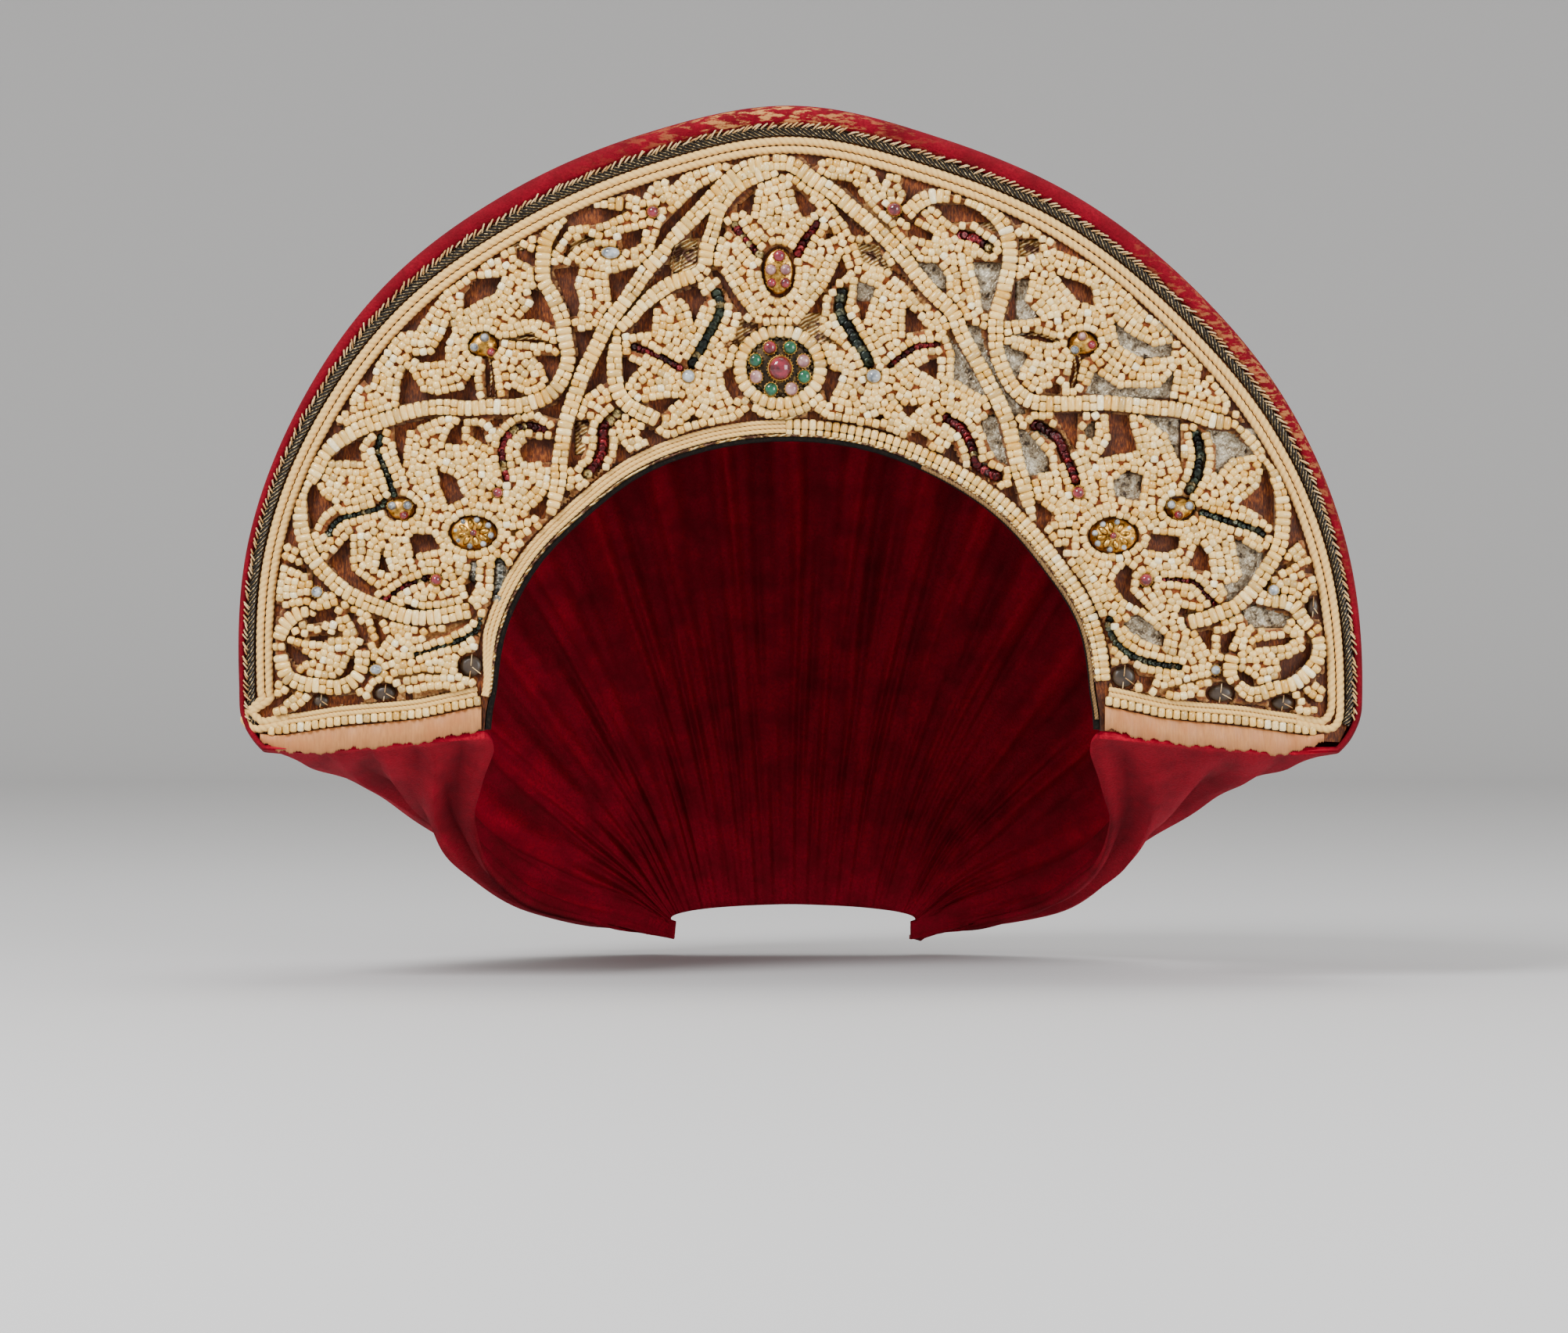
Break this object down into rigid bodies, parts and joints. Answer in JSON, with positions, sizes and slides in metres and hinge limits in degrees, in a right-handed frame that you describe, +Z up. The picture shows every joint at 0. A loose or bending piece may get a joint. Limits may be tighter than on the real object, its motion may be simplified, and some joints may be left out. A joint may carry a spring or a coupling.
{
  "type": "kokoshnik headdress",
  "caption": "Crescent headdress with a beaded openwork front round a face arch, a velvet rim and a gathered velvet cap behind.",
  "frame": {"origin": "where the crown of the wearer's head meets the inside of the cap, in the middle plane", "axes": "+Z up, the beaded front faces -Y, +X to the right as seen from the front"},
  "size_m": [0.2973, 0.1802, 0.2268],
  "materials": {
    "board": "silk over pasteboard",
    "velvet": "crimson pile velvet",
    "lining": "dark lining",
    "braid": "twill braid with pale threads",
    "cord": "twisted cotton cord",
    "beads": "milky glass beads",
    "padding": "cotton padding under the beadwork",
    "ribbon": "ribbed silk ribbon",
    "gilt": "gilt metal setting",
    "bronze": "dark bronze setting",
    "glass_pink": "pink glass stone",
    "glass_green": "green glass stone",
    "glass_white": "pearl white glass stone",
    "glass_grey": "grey glass stone",
    "disc": "dark brown disc"
  },
  "bodies": {
    "root": {"front_board": "board", "velvet_cap": "velvet", "opening_bead_border": "beads", "inner_band": "lining", "edge_braid": "braid", "rim_cord_outer": "cord", "rim_cord_inner": "cord", "bottom_bead_border_left": "beads", "ribbon_left": "ribbon", "bottom_bead_border_right": "beads", "ribbon_right": "ribbon", "openwork_relief": "padding", "medallion_setting": "bronze", "medallion_bead_ring": "beads", "medallion_stone_middle": "glass_pink", "medallion_stone_1": "glass_pink", "medallion_stone_2": "glass_green", "medallion_stone_3": "glass_white", "medallion_stone_4": "glass_green", "medallion_stone_5": "glass_white", "medallion_stone_6": "glass_green", "medallion_stone_7": "glass_white", "medallion_stone_8": "glass_green", "crest_setting": "gilt", "crest_stone_top": "glass_pink", "crest_stone_upper_left": "glass_white", "crest_stone_upper_right": "glass_white", "crest_stone_lower_left": "glass_pink", "crest_stone_lower_right": "glass_pink", "oval_flower_left": "gilt", "oval_flower_right": "gilt", "trefoil_upper_left": "gilt", "trefoil_upper_right": "gilt", "trefoil_lower_left": "gilt", "trefoil_lower_right": "gilt", "stone_crest_left": "glass_pink", "stone_oval_left": "glass_grey", "stone_heart_left": "glass_grey", "stone_arm_left": "glass_pink", "stone_leaf_left": "glass_pink", "stone_side_left": "glass_grey", "stone_foot_left": "glass_grey", "stone_crest_right": "glass_pink", "stone_heart_right": "glass_grey", "stone_arm_right": "glass_pink", "stone_leaf_right": "glass_pink", "stone_side_right": "glass_grey", "stone_foot_right": "glass_grey", "disc_foot_left": "disc", "disc_middle_left": "disc", "disc_inner_left": "disc", "disc_inner_right": "disc", "disc_middle_right": "disc", "disc_foot_right": "disc", "disc_side_right": "disc"}
  },
  "joints": []
}
